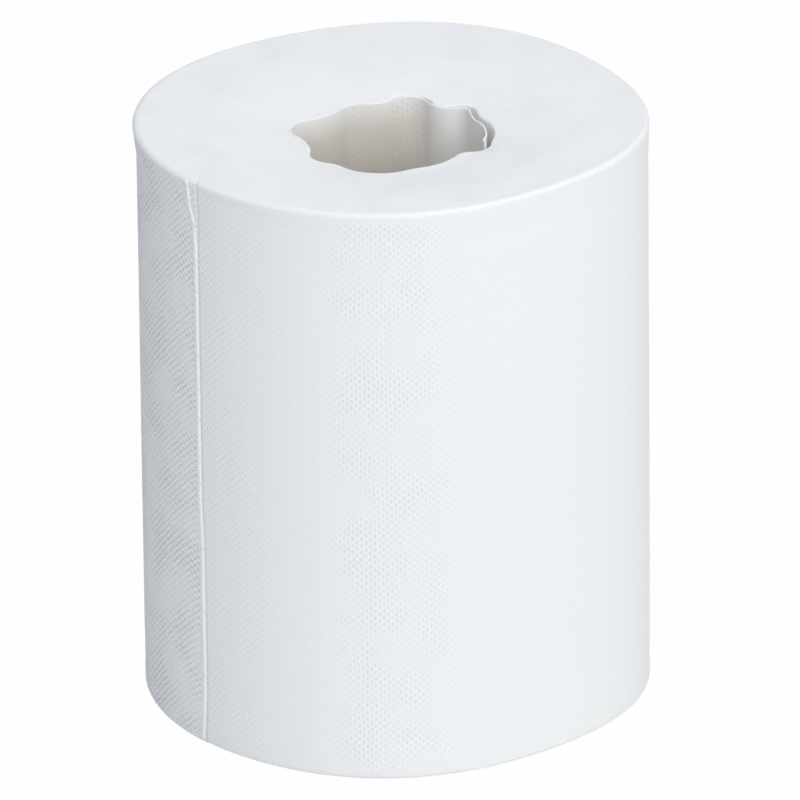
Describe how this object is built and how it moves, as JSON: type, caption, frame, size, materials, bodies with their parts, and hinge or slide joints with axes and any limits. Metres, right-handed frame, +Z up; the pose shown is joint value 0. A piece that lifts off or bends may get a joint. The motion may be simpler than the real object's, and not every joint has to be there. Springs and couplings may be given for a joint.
{
  "type": "paper towel roll",
  "caption": "Coreless roll of soft perforated wiping web, standing on its end, with a free folded hole up the middle and the loose end of the web down the outside.",
  "frame": {"origin": "middle of the lower end, on the roll's own axis", "axes": "+Z runs up the roll along its axis; -Y faces the viewer of the picture and +X is to their right"},
  "size_m": [0.167, 0.1654, 0.2],
  "materials": {
    "towel_web": "soft matt"
  },
  "bodies": {
    "root": {"towel_roll": "towel_web"}
  },
  "joints": []
}
